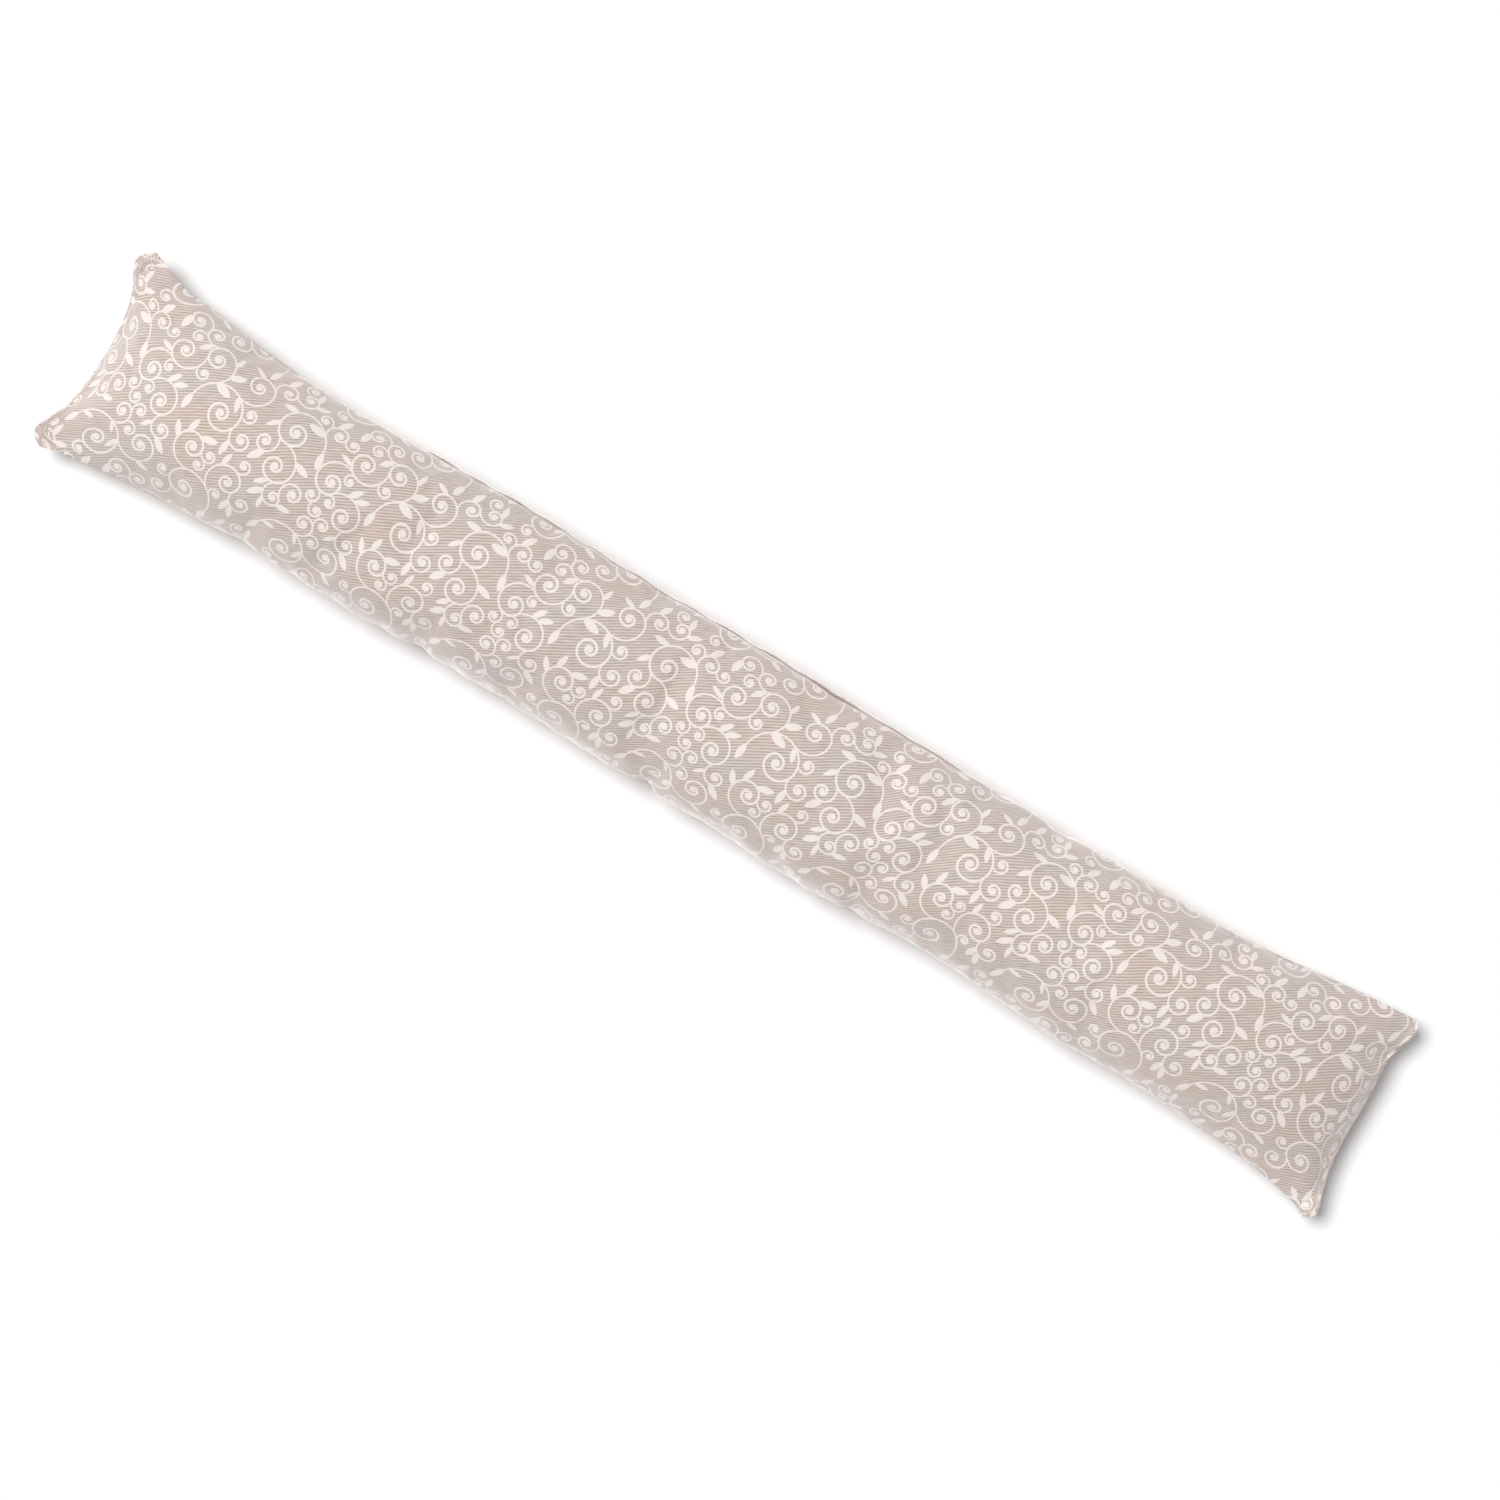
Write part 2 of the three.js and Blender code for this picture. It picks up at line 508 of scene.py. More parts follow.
points = read_points(cover)
normals = normal_rows()
upper_waves = gathers(points[:, 0], SIDE_LENGTHS)
lower_waves = gathers(points[:, 0], SIDE_LENGTHS)
along_side = np.where(points[:, 1] > 0, upper_waves, lower_waves)
at_end = ease((np.abs(points[:, 0]) - END_GATHER_FROM) / END_GATHER_FADE)
end_waves = gathers(points[:, 1], END_LENGTHS)
start_waves = gathers(points[:, 1], END_LENGTHS)
along_end = np.where(points[:, 0] > 0, end_waves, start_waves)
wave = along_side * (1 - at_end) + along_end * at_end
close = ease(1 - from_seam / GATHER_REACH) * np.clip(from_seam / SEAM_KEPT, 0, 1)
gathered = wave * close * (SIDE_GATHER + (END_GATHER - SIDE_GATHER) * at_end)
points += normals * gathered[:, None]
points[:, 2] = np.maximum(points[:, 2], 0)
write_points(cover, points)
print("gathers, mm:", round(np.abs(gathered).max() * 1000, 2))

# %% [markdown]
# ## Folds
#
# A few soft folds are plain to see on the real cushion: they start at a tight stitch or a corner, run
# in over the cloth and fade away. Each is a shallow valley with a low ridge on both sides. They are
# listed in a small table, one row for each fold.

# %% Press the folds in
FOLD_EARLY = 0.4
FOLD_RUN_IN = 0.3
FOLD_RUN_OUT = 0.8
RIDGE_AWAY = 1.8
RIDGE_SHARE = 0.4
SIDE_FADE = 0.4
SIDE_SHARE = 1.2
FOLDS = [
    # start x, y; end x, y; depth; width, all in millimetres
    (-27, -56, -14, -24, 2.4, 4.5),
    (-187, -56, -176, -34, 1.2, 5.0),
    (122, -55, 112, -30, 1.2, 5.0),
    (-309, -55, -300, -30, 1.2, 5.0),
    (200, 55, 208, 30, 1.0, 5.0),
    (436, 36, 380, 24, 2.2, 6.0),
    (446, -58, 380, -30, 1.8, 8.0),
    (-446, 60, -385, 30, 2.0, 8.0),
    (-446, -58, -385, -30, 1.8, 8.0),
]


def fold_depth(places, fold):
    """How deep one fold lies at each place."""
    start_x, start_y, end_x, end_y, depth, width = [value / 1000 for value in fold]
    start = np.array([start_x, start_y])
    run = np.array([end_x, end_y]) - start
    length = np.linalg.norm(run)
    run /= length
    offset = places - start
    along = (offset @ run) / length
    across = (offset[:, 0] * run[1] - offset[:, 1] * run[0]) / width
    fade = ease((along + FOLD_EARLY) / FOLD_RUN_IN) * ease((1 - along) / FOLD_RUN_OUT)
    ridges = np.exp(-((across - RIDGE_AWAY) ** 2)) + np.exp(-((across + RIDGE_AWAY) ** 2))
    return depth * fade * (np.exp(-(across**2)) - RIDGE_SHARE * ridges)


points = read_points(cover)
normals = normal_rows()
on_top = ease(normals[:, 2] / SIDE_FADE + SIDE_SHARE)
pressed = sum(fold_depth(points[:, :2], fold) for fold in FOLDS) * on_top * ease(from_seam / SEAM_KEPT)
points -= normals * pressed[:, None]
write_points(cover, points)
print("folds, mm: deepest", round(pressed.max() * 1000, 2))

# %% Smooth shading with a crisp seam
bpy.ops.object.shade_smooth()
sewn, back_faces = seam_edges()
cover.data.attributes.new("sharp_edge", "BOOLEAN", "EDGE").data.foreach_set("value", sewn)
print("seam edges:", int(sewn.sum()))

# %% [markdown]
# ## A map for baking
#
# The cloth map is wider than a square picture and the strips are very long, so a second map lays each
# panel out in two halves, four bands in all, that fill the square. It is used when the finish is baked.

# %% Lay the halves out as four bands
BAND_ROOM = 0.94

cloth_map = cover.data.uv_layers["cloth"]
cloth_place = np.zeros(len(cover.data.loops) * 2)
cloth_map.data.foreach_get("uv", cloth_place)
cloth_place = cloth_place.reshape(-1, 4, 2)
face_along = cloth_place[..., 0].mean(axis=1)
along = cloth_place[..., 0]
across = cloth_place[..., 1] - np.where(back_faces, BACK_SHIFT, 0)[:, None]
half_length = np.abs(along).max()
strip_width = np.ptp(across)
right_half = face_along > 0
band = back_faces * 2 + right_half
band_along = along / half_length + np.where(right_half, 0, 1)[:, None]
map_x = 0.5 + (band_along - 0.5) * BAND_ROOM
map_y = (band[:, None] + 0.5 + across / strip_width * BAND_ROOM) / 4
bake_map = cover.data.uv_layers.new(name="OFBake")
bake_map.data.foreach_set("uv", np.stack([map_x, map_y], axis=-1).ravel())
print("bands:", sorted(set(band.tolist())))

# %% [markdown]
# ## The figure in the cloth
#
# The cloth has an off-white figure of curling shoots and small leaves on a beige ground, a common kind
# of furnishing pattern. It could be painted on an image, but a drawn image stays at one size. Here the
# figure is grown: big curls first, smaller ones branching off where there is most room, then leaves.
# A curl is a logarithmic spiral, so one formula draws all of them. The layout is this script's own.

# %% How a curl runs
CLOTH_REPEAT = np.array([130.0, 112.0])
COIL_SHRINK = 0.33
COIL_END = 1.25
LINE_STEP = 0.04
COIL_SLOPE = math.atan(math.log(1 / COIL_SHRINK) / (2 * math.pi))


def toward(angle):
    """A step of length 1 in a direction."""
    return np.array([math.cos(angle), math.sin(angle)])


class Curl:
    """A shoot that winds in on itself. Millimetres on the cloth; hand is 1 or -1, the way it winds."""

    def __init__(self, start, heading, hand, reach, fork=None):
        self.start = np.array(start, dtype=float)
        self.heading = heading
        self.hand = hand
        self.reach = reach
        self.fork = fork
        self.centre = self.start + reach * toward(heading + hand * (math.pi / 2 - COIL_SLOPE))
        back = self.start - self.centre
        self.first = math.atan2(back[1], back[0])
        turns = math.log(reach / COIL_END) / math.log(1 / COIL_SHRINK)
        self.line = self.points(np.arange(0, turns, LINE_STEP))

    def points(self, turns):
        """Points at the given numbers of turns from the start."""
        angle = self.first + self.hand * 2 * np.pi * np.asarray(turns)
        radius = self.reach * COIL_SHRINK ** np.asarray(turns)
        return self.centre + np.stack([radius * np.cos(angle), radius * np.sin(angle)], axis=-1)

    def heading_at(self, turn):
        """Which way the shoot runs at a number of turns from its start."""
        return self.heading + self.hand * 2 * math.pi * turn


print("a curl's line leans in by", round(math.degrees(COIL_SLOPE), 1), "degrees")

# %% The first curls
GROWTH_SEED = 11
FIRST_CURLS = [
    # start x, start y, heading in degrees, hand, reach
    (14, 10, 80, -1, 21),
    (100, 22, 95, 1, 20),
    (52, 58, 70, 1, 20),
    (84, 74, 60, -1, 21),
]

growth = random.Random(GROWTH_SEED)
curls = [Curl((x, y), math.radians(turn), hand, reach) for x, y, turn, hand, reach in FIRST_CURLS]
taken = [curl.line for curl in curls]
print("first curls:", len(curls))

# %% Branch off where there is most room
CURL_TRIES = 220
CURL_GAP = 2.6
BRANCH_TURNS = (0.02, 0.8)
BRANCH_LEANS = (0.1, 0.6)
BIGGEST_SHARE = 1.05
ROOM_SHARE = 0.75
TEST_TURNS = np.arange(0.25, 1.15, 0.05)

# How many curls of a size, and their least and greatest reach
BIG_CURLS = (9, 11.0, 15.0)
MIDDLE_CURLS = (13, 7.0, 9.0)


def over_repeat(apart):
    """The shorter way between two places, over the edge of the cloth's repeat where that is nearer."""
    return apart - CLOTH_REPEAT * np.round(apart / CLOTH_REPEAT)


def gap(places, others):
    """The shortest way between two sets of points."""
    apart = over_repeat(places[:, None, :] - others[None, :, :])
    return np.hypot(apart[..., 0], apart[..., 1]).min()


def branch(least, greatest):
    """A new curl off a grown one, where there is most room, or None."""
    crowd = np.concatenate(taken)
    best = None
    best_room = 0.0
    for _ in range(CURL_TRIES):
        parent = growth.choice(curls)
        turn = growth.uniform(*BRANCH_TURNS)
        reach = growth.uniform(least, greatest)
        if reach > parent.reach * BIGGEST_SHARE:
            continue
        hand = parent.hand * growth.choice((-1, -1, -1, 1))
        lean = -parent.hand * growth.uniform(*BRANCH_LEANS)
        young = Curl(parent.points(turn), parent.heading_at(turn) + lean, hand, reach, (parent, turn))
        apart = over_repeat(crowd - young.centre)
        away = np.hypot(apart[:, 0], apart[:, 1])
        if away.min() <= max(best_room, reach * ROOM_SHARE):
            continue
        near = apart[away < reach + CURL_GAP]
        own = np.concatenate([young.points(TEST_TURNS) - young.centre, [[0.0, 0.0]]])
        if len(near) == 0 or gap(own, near) >= CURL_GAP:
            best = young
            best_room = away.min()
    return best


def grow(count, least, greatest):
    """Adds up to this many curls of one size."""
    for _ in range(count):
        young = branch(least, greatest)
        if young is not None:
            curls.append(young)
            taken.append(young.line)


grow(*BIG_CURLS)
grow(*MIDDLE_CURLS)
print("curls so far:", len(curls))

# %% Set the leaves
LEAF_COUNT = 40
LEAF_TRIES = 3000
LEAF_GAP = 1.5
FIRST_LEAF = 11.0
FORK_LENGTHS = (12.0, 10.0, 8.5)
FORK_LEANS = (0.55, 0.8)
LEAF_LENGTHS = (8.5, 11.5)
LEAF_LEANS = (0.45, 0.85)
LEAF_TURNS = (0.0, 0.6)
OUTLINE_SHARES = (0.35, 0.6, 0.85, 1.08)
OUTLINE_OFFSETS = (-1.9, 1.9)
TAKEN_SHARES = (0.3, 0.6, 0.9)
TAKEN_OFFSETS = (-1.5, 1.5)
LEAF_TIP = (1.0, 0.0)
LEAF_OUTLINE = [(share, off) for share in OUTLINE_SHARES for off in OUTLINE_OFFSETS]
LEAF_ROOM = [(share, off) for share in TAKEN_SHARES for off in TAKEN_OFFSETS] + [LEAF_TIP]

leaves = []


def leaf_points(base, angle, length, spots):
    """Places on a leaf, each given as a share of its length and a way across it."""
    side = toward(angle + math.pi / 2)
    return np.array([base + toward(angle) * length * share + side * off for share, off in spots])


def set_leaf(base, angle, length, sure=False):
    """Adds a leaf if there is room for it, and says whether it did."""
    if not sure and gap(leaf_points(base, angle, length, LEAF_OUTLINE), np.concatenate(taken)) < LEAF_GAP:
        return False
    leaves.append((base, angle, length))
    taken.append(leaf_points(base, angle, length, LEAF_ROOM))
    return True


def leaf_at_fork(curl):
    """Tries longer and shorter leaves on both sides of the place where a curl branches off."""
    parent, turn = curl.fork
    for length in FORK_LENGTHS:
        for side in (1, -1):
            for lean in FORK_LEANS:
                angle = parent.heading_at(turn) + side * parent.hand * lean
                if set_leaf(curl.start, angle, length):
                    return


for curl in curls[: len(FIRST_CURLS)]:
    set_leaf(curl.start, curl.heading + math.pi, FIRST_LEAF, sure=True)
for curl in curls[len(FIRST_CURLS) :]:
    leaf_at_fork(curl)

for _ in range(LEAF_TRIES):
    if len(leaves) >= LEAF_COUNT:
        break
    parent = growth.choice(curls)
    turn = growth.uniform(*LEAF_TURNS)
    side = growth.choice((-1, 1))
    length = growth.uniform(*LEAF_LENGTHS)
    angle = parent.heading_at(turn) + side * parent.hand * growth.uniform(*LEAF_LEANS)
    set_leaf(parent.points(turn), angle, length)
print("leaves:", len(leaves))

# %% Fill in with small curls
SMALL_CURLS = (20, 4.6, 6.0)

grow(*SMALL_CURLS)
print("curls:", len(curls))

# %% [markdown]
# ## Node helpers
#
# A long network is easier to read when each node is one line of code. These helpers add a node, set its
# values and link its inputs. The curl, the leaf and the weave are node groups, each built once.
# A curl is drawn by how far a place is from its line, and a leaf lies where two equal discs overlap.

# %% Short words for nodes


def add_node(tree, kind, inputs=(), **settings):
    """A new node. Each input is a socket to link from, a plain value, or None to leave as it is."""
    node = tree.nodes.new(kind)
    for name, value in settings.items():
        setattr(node, name, value)
    for place, value in enumerate(inputs):
        if isinstance(value, bpy.types.NodeSocket):
            tree.links.new(value, node.inputs[place])
        elif value is not None:
            node.inputs[place].default_value = value
    return node


def number(tree, operation, *inputs, clamp=False):
    """A Math node's result."""
    return add_node(tree, "ShaderNodeMath", inputs, operation=operation, use_clamp=clamp).outputs[0]


def arrow(tree, operation, *inputs):
    """A Vector Math node's result, a number for a length or a dot product."""
    node = add_node(tree, "ShaderNodeVectorMath", inputs, operation=operation)
    return node.outputs["Value" if operation in ("LENGTH", "DISTANCE", "DOT_PRODUCT") else "Vector"]


def new_group(name, inputs, outputs):
    """An empty node group with its input and output sockets."""
    group = bpy.data.node_groups.new(name, "ShaderNodeTree")
    for words, kind in inputs:
        group.interface.new_socket(words, in_out="INPUT", socket_type=kind)
    for words, kind in outputs:
        group.interface.new_socket(words, in_out="OUTPUT", socket_type=kind)
    return group, group.nodes.new("NodeGroupInput").outputs, group.nodes.new("NodeGroupOutput").inputs


FLOAT = "NodeSocketFloat"
VECTOR = "NodeSocketVector"
print("node helpers ready")

# %% The curl as a node group
EDGE_SOFT = 0.3
STROKE_OUTSIDE = 0.53
STROKE_INSIDE = 0.3
CURL_CUT = 1.02
HALF_REPEAT = np.array([*(CLOTH_REPEAT / 2), 1.0])

curl_inputs = [("Cloth", VECTOR), ("Centre", VECTOR), ("Right", VECTOR), ("Up", VECTOR)]
curl_inputs += [("Thinner", FLOAT), ("Edge", FLOAT)]
curl_group, given, result = new_group("curl", curl_inputs, [("Inside", FLOAT)])
offset = arrow(curl_group, "SUBTRACT", given["Cloth"], given["Centre"])
offset = arrow(curl_group, "WRAP", offset, tuple(HALF_REPEAT), tuple(-HALF_REPEAT))
radius = arrow(curl_group, "LENGTH", offset)
right = arrow(curl_group, "DOT_PRODUCT", offset, given["Right"])
up = arrow(curl_group, "DOT_PRODUCT", offset, given["Up"])
angle = number(curl_group, "ARCTAN2", up, right)
lap = number(curl_group, "LOGARITHM", radius, 1 / COIL_SHRINK)
lap = number(curl_group, "MULTIPLY_ADD", angle, 1 / (2 * math.pi), lap)
off_line = number(curl_group, "PINGPONG", lap, 0.5)
slope = number(curl_group, "MULTIPLY_ADD", off_line, math.log(COIL_SHRINK) / EDGE_SOFT, given["Thinner"])
middle = (STROKE_OUTSIDE + STROKE_INSIDE) / EDGE_SOFT + 0.5
line = number(curl_group, "MULTIPLY_ADD", radius, slope, middle)
cut = number(curl_group, "MULTIPLY_ADD", radius, -1 / EDGE_SOFT, given["Edge"])
curl_group.links.new(number(curl_group, "MINIMUM", line, cut), result["Inside"])
print("curl group:", len(curl_group.nodes), "nodes")

# %% The leaf as a node group
LEAF_STALK = 0.6
LEAF_ROUND = 8.7

leaf_inputs = [("Cloth", VECTOR), ("Most", VECTOR), ("Least", VECTOR), ("One", VECTOR), ("Other", VECTOR)]
leaf_group, given, result = new_group("leaf", leaf_inputs, [("Away", FLOAT)])
place = arrow(leaf_group, "WRAP", given["Cloth"], given["Most"], given["Least"])
from_one = arrow(leaf_group, "DISTANCE", place, given["One"])
from_other = arrow(leaf_group, "DISTANCE", place, given["Other"])
leaf_group.links.new(number(leaf_group, "MAXIMUM", from_one, from_other), result["Away"])
print("leaf group:", len(leaf_group.nodes), "nodes")

# %% The whole figure as a node group
figure_group, given, result = new_group("scroll_figure", [("Cloth", VECTOR)], [("Mask", FLOAT)])


def flat_vector(place):
    """A place or a direction on the cloth as a vector socket wants it."""
    return (float(place[0]), float(place[1]), 0.0)


def draw_curl(curl):
    """How far inside one curl's line the cloth is."""
    laps_out = math.log(curl.reach) / math.log(1 / COIL_SHRINK)
    turned = curl.first + curl.hand * 2 * math.pi * laps_out
    right = flat_vector(toward(turned))
    up = flat_vector(curl.hand * toward(turned + math.pi / 2))
    thinner = -STROKE_INSIDE / EDGE_SOFT / curl.reach
    values = [given["Cloth"], flat_vector(curl.centre), right, up, thinner, CURL_CUT * curl.reach / EDGE_SOFT]
    return add_node(figure_group, "ShaderNodeGroup", values, node_tree=curl_group).outputs["Inside"]


def draw_leaf(base, angle, length):
    """How far the cloth is from one leaf, which lies where two equal discs overlap."""
    half_length = (length + LEAF_STALK) / 2
    middle = np.array(flat_vector(base + toward(angle) * (half_length - LEAF_STALK)))
    apart = np.array(flat_vector(toward(angle + math.pi / 2) * math.sqrt(LEAF_ROUND**2 - half_length**2)))
    places = [middle + HALF_REPEAT, middle - HALF_REPEAT, middle + apart, middle - apart]
    values = [given["Cloth"], *[tuple(place) for place in places]]
    return add_node(figure_group, "ShaderNodeGroup", values, node_tree=leaf_group).outputs["Away"]


inside = draw_curl(curls[0])
for curl in curls[1:]:
    inside = number(figure_group, "MAXIMUM", inside, draw_curl(curl))
away = draw_leaf(*leaves[0])
for leaf in leaves[1:]:
    away = number(figure_group, "MINIMUM", away, draw_leaf(*leaf))
inside_leaf = number(figure_group, "MULTIPLY_ADD", away, -1 / EDGE_SOFT, LEAF_ROUND / EDGE_SOFT + 0.5)
figure_mask = number(figure_group, "MAXIMUM", inside, inside_leaf, clamp=True)
figure_group.links.new(figure_mask, result["Mask"])
print("figure group:", len(figure_group.nodes), "nodes")

# %% [markdown]
# ## The weave
#
# Seen close, the ground is a fine rib: short pale and dark lines that run aslant over the strip, broken
# where a thread is thick or thin. The colour drifts too, from warm sand to a greyer beige. A sine gives
# the ribs and stretched noise breaks them, so the same group drives the colour and the bump.

# %% The weave as a node group
RIB_TURN = math.radians(-31.0)
RIB_PITCH = 1.75
RIB_WANDER = 1.5
RIB_SHARE = 0.3
SLUB_SHARE = 0.8
WEAVE_LOW = 0.1
WANDER_STRETCH = (0.03, 0.03, 1)
SLUB_STRETCH = (0.12, 1.3, 1)
DRIFT_STRETCH = (0.018, 0.045, 1)

weave_group, given, result = new_group(
    "ribbed_weave", [("Cloth", VECTOR)], [("Rib", FLOAT), ("Drift", FLOAT)]
)
turned = add_node(weave_group, "ShaderNodeVectorRotate", rotation_type="Z_AXIS")
weave_group.links.new(given["Cloth"], turned.inputs["Vector"])
turned.inputs["Angle"].default_value = RIB_TURN
turned = turned.outputs["Vector"]


def stretched_noise(tree, place, stretch, detail):
    """Noise drawn out by different amounts along and across, centred on 0.5."""
    stretched = arrow(tree, "MULTIPLY", place, stretch)
    node = add_node(tree, "ShaderNodeTexNoise", [stretched])
    node.inputs["Scale"].default_value = 1.0
    node.inputs["Detail"].default_value = detail
    return node.outputs["Fac"]


wander = stretched_noise(weave_group, turned, WANDER_STRETCH, 0.0)
across_rib = add_node(weave_group, "ShaderNodeSeparateXYZ", [turned]).outputs["Y"]
across_rib = number(weave_group, "MULTIPLY_ADD", wander, RIB_WANDER, across_rib)
rib = number(weave_group, "SINE", number(weave_group, "MULTIPLY", across_rib, 2 * math.pi / RIB_PITCH))
slub = stretched_noise(weave_group, turned, SLUB_STRETCH, 1.0)
rib = number(weave_group, "MULTIPLY_ADD", rib, RIB_SHARE, WEAVE_LOW)
weave_group.links.new(number(weave_group, "MULTIPLY_ADD", slub, SLUB_SHARE, rib), result["Rib"])
weave_group.links.new(stretched_noise(weave_group, turned, DRIFT_STRETCH, 1.0), result["Drift"])
print("weave group:", len(weave_group.nodes), "nodes")

# %% [markdown]
# ## The cover cloth
#
# The cloth is matt cotton. The figure mixes an off-white into the beige ground, ribs and drift vary it,
# and a soft sheen makes the sides paler, as fine fibres do where cloth turns away from the eye: part of
# it is the shader's sheen, and part is a painted sheen, a pale colour mixed in where the cloth faces away.
# Along the seam a thin brownish line is painted in as shade, where the two panels meet and little light gets
# in.

# %% Cover cloth


def paint(red, green, blue):
    """A colour given as it looks on a screen, 0 to 255, in the linear values that nodes use."""
    linear = []
    for value in (red, green, blue):
        level = value / 255
        linear.append(level / 12.92 if level <= 0.04045 else ((level + 0.055) / 1.055) ** 2.4)
    return (*linear, 1.0)


WARM_GROUND = paint(198, 181, 171)
GREY_GROUND = paint(194, 182, 177)
FIGURE_WHITE = paint(233, 223, 219)
# Painted sheen: a pale colour for the sides that turn away from the eye.
PAINTED_SHEEN_PALE = paint(242, 235, 232)
# Painted shade: a brown line along the seam.
SEAM_SHADE_BROWN = paint(128, 92, 70)
TO_MILLIMETRES = (1000, 1000, 1000)

cover_cloth = bpy.data.materials.new("beige_scroll_cloth")
cover_cloth.use_nodes = True
tree = cover_cloth.node_tree
shader = tree.nodes["Principled BSDF"]

cloth_uv = add_node(tree, "ShaderNodeUVMap", uv_map="cloth").outputs["UV"]
cloth_mm = arrow(tree, "MULTIPLY", cloth_uv, TO_MILLIMETRES)
figure_node = add_node(tree, "ShaderNodeGroup", [cloth_mm], node_tree=figure_group)
weave_node = add_node(tree, "ShaderNodeGroup", [cloth_mm], node_tree=weave_group)
print("cloth groups placed")

# %% Colour of the cloth
DRIFT_GAIN = 3.0
RIB_DEPTH = 0.75
SEAM_LINE = 0.0024
SEAM_CORE = 1.3
SEAM_SHADE_STRENGTH = 0.78
PAINTED_SHEEN_STRENGTH = 0.75
FACING_BLEND = 0.5

# Places of the colour sockets on a Mix node
MIX_FIRST = 6
MIX_SECOND = 7
MIX_RESULT = 2


def blend(share, first, second):
    """Two colours mixed by a share."""
    node = add_node(tree, "ShaderNodeMix", data_type="RGBA")
    for place, value in ((0, share), (MIX_FIRST, first), (MIX_SECOND, second)):
        if isinstance(value, bpy.types.NodeSocket):
            tree.links.new(value, node.inputs[place])
        else:
            node.inputs[place].default_value = value
    return node.outputs[MIX_RESULT]


drift = weave_node.outputs["Drift"]
drift = number(tree, "MULTIPLY_ADD", drift, DRIFT_GAIN, 0.5 - DRIFT_GAIN / 2, clamp=True)
ground = blend(drift, WARM_GROUND, GREY_GROUND)
rib_light = number(tree, "MULTIPLY_ADD", weave_node.outputs["Rib"], RIB_DEPTH, 1 - RIB_DEPTH / 2)
ground = arrow(tree, "SCALE", ground, None, None, rib_light)
cloth_colour = blend(figure_node.outputs["Mask"], ground, FIGURE_WHITE)

# Painted sheen: the base colour is mixed towards a pale colour where the cloth turns away from the eye.
turned_away = add_node(tree, "ShaderNodeLayerWeight", [FACING_BLEND]).outputs["Facing"]
painted_sheen = number(tree, "MULTIPLY", number(tree, "MULTIPLY", turned_away, turned_away), PAINTED_SHEEN_STRENGTH)
cloth_colour = blend(painted_sheen, cloth_colour, PAINTED_SHEEN_PALE)

# Painted shade along the seam: a brownish line mixed into the colour near the sewn edge, only over the full
# middle of the cushion.
from_seam_node = add_node(tree, "ShaderNodeAttribute", attribute_name="from_seam").outputs["Fac"]
full_part = add_node(tree, "ShaderNodeAttribute", attribute_name="full_part").outputs["Fac"]
painted_seam_shade = number(tree, "MULTIPLY_ADD", from_seam_node, -1 / SEAM_LINE, SEAM_CORE, clamp=True)
painted_seam_shade = number(tree, "MULTIPLY", painted_seam_shade, number(tree, "MULTIPLY", full_part, SEAM_SHADE_STRENGTH))
cloth_colour = blend(painted_seam_shade, cloth_colour, SEAM_SHADE_BROWN)
tree.links.new(cloth_colour, shader.inputs["Base Color"])
print("colour nodes:", len(tree.nodes))

# %% Feel of the cloth
CLOTH_ROUGHNESS = 0.9
FIGURE_SMOOTHER = 0.08
BUMP_STRENGTH = 0.25
THREAD_HEIGHT = 0.0002
CLOTH_SPECULAR = 0.2
SHEEN_WEIGHT = 1.0
SHEEN_ROUGHNESS = 0.4
SHEEN_WHITE = paint(250, 244, 242)

roughness = number(tree, "MULTIPLY_ADD", figure_node.outputs["Mask"], -FIGURE_SMOOTHER, CLOTH_ROUGHNESS)
tree.links.new(roughness, shader.inputs["Roughness"])
bump = add_node(tree, "ShaderNodeBump")
bump.inputs["Strength"].default_value = BUMP_STRENGTH
bump.inputs["Distance"].default_value = THREAD_HEIGHT
tree.links.new(weave_node.outputs["Rib"], bump.inputs["Height"])
tree.links.new(bump.outputs["Normal"], shader.inputs["Normal"])
shader.inputs["Specular IOR Level"].default_value = CLOTH_SPECULAR
shader.inputs["Sheen Weight"].default_value = SHEEN_WEIGHT
shader.inputs["Sheen Roughness"].default_value = SHEEN_ROUGHNESS
shader.inputs["Sheen Tint"].default_value = SHEEN_WHITE

cover.data.materials.clear()
cover.data.materials.append(cover_cloth)
print("cover cloth:", len(tree.nodes), "nodes")

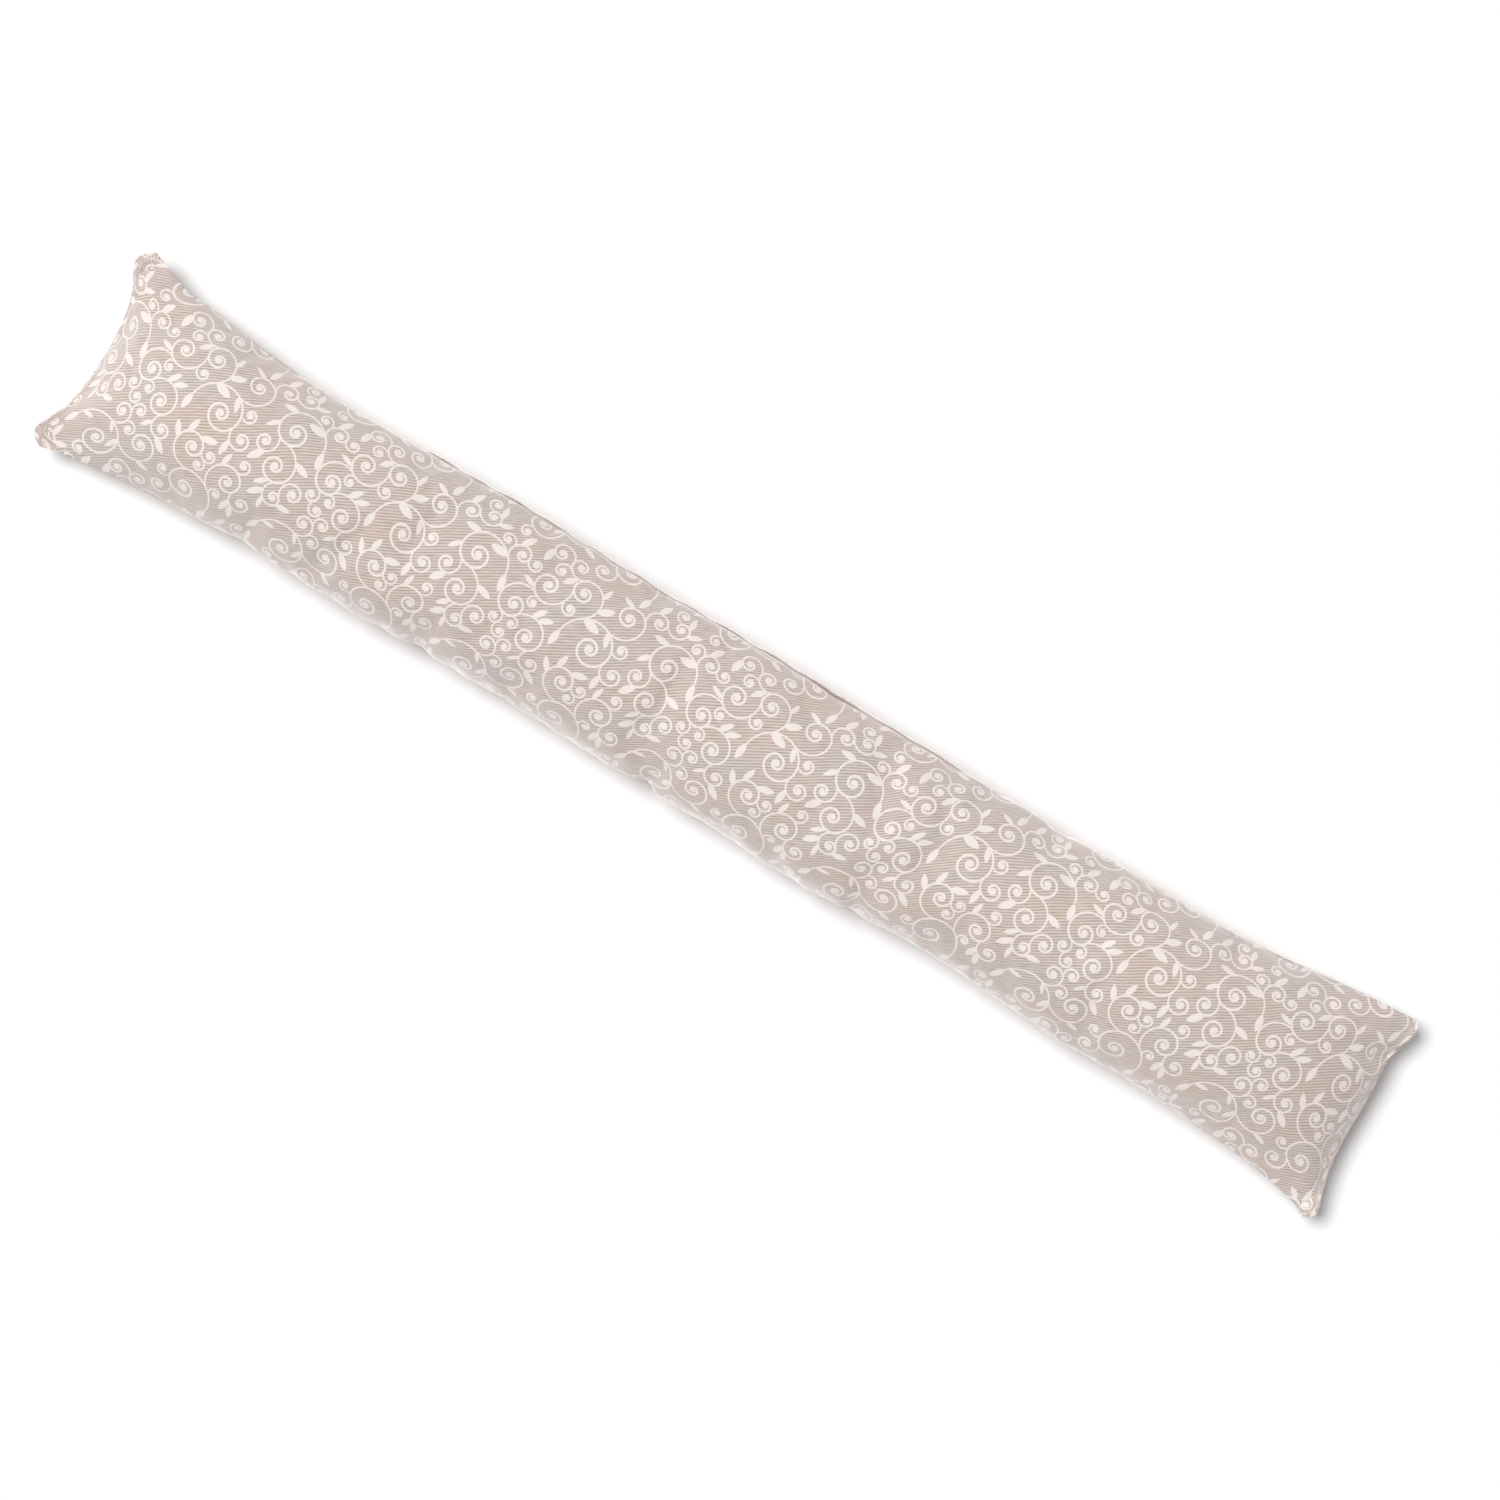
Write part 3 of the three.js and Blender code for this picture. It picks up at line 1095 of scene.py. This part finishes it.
# %% [markdown]
# ## Floor and light
#
# The cushion lies on a plain white ground in even studio light, with a close soft shadow that falls to
# the right. A white world gives the even light, and one wide lamp from the left gives the shadow. A sun
# lamp is used, because it lights the whole floor alike, and its angle makes it as soft as a wide lamp.
# The world is shown white behind the floor, though it lights the cushion more weakly.

# %% Floor
FLOOR_SIZE = 20
FLOOR_WHITE = (0.91, 0.91, 0.91, 1)

bpy.ops.object.select_all(action="DESELECT")
bpy.ops.mesh.primitive_plane_add(size=FLOOR_SIZE, location=(0, 0, 0))
floor = bpy.context.object
floor.name = "floor"
floor_white = bpy.data.materials.new("plain_white_floor")
floor_white.use_nodes = True
floor_shader = floor_white.node_tree.nodes["Principled BSDF"]
floor_shader.inputs["Base Color"].default_value = FLOOR_WHITE
floor_shader.inputs["Roughness"].default_value = 1.0
floor_shader.inputs["Specular IOR Level"].default_value = 0.0
floor.data.materials.append(floor_white)
print("floor, m:", FLOOR_SIZE)

# %% Even light and one lamp
EVEN_LIGHT = 0.37
BACKDROP = 1.0
LAMP_RISE = math.radians(65)
LAMP_TURN = math.radians(174)
LAMP_SPREAD = math.radians(28)
LAMP_STRENGTH = 2.64

world = bpy.data.worlds.new("even_studio")
world.use_nodes = True
background = world.node_tree.nodes["Background"]
background.inputs["Color"].default_value = (1, 1, 1, 1)
looked_at = add_node(world.node_tree, "ShaderNodeLightPath").outputs["Is Camera Ray"]
shown = number(world.node_tree, "MULTIPLY_ADD", looked_at, BACKDROP - EVEN_LIGHT, EVEN_LIGHT)
world.node_tree.links.new(shown, background.inputs["Strength"])
bpy.context.scene.world = world

lamp_place = Vector((*(toward(LAMP_TURN) * math.cos(LAMP_RISE)), math.sin(LAMP_RISE)))
bpy.ops.object.light_add(type="SUN", location=lamp_place)
lamp = bpy.context.object
lamp.data.angle = LAMP_SPREAD
lamp.data.energy = LAMP_STRENGTH
lamp.rotation_euler = (-lamp_place).to_track_quat("-Z", "Y").to_euler()
bpy.context.scene.view_settings.view_transform = "Standard"
print("lamp at, m:", [round(value, 2) for value in lamp_place])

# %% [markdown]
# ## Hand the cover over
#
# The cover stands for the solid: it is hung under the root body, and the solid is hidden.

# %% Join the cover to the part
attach(cover, "root")
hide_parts("filled_cover")
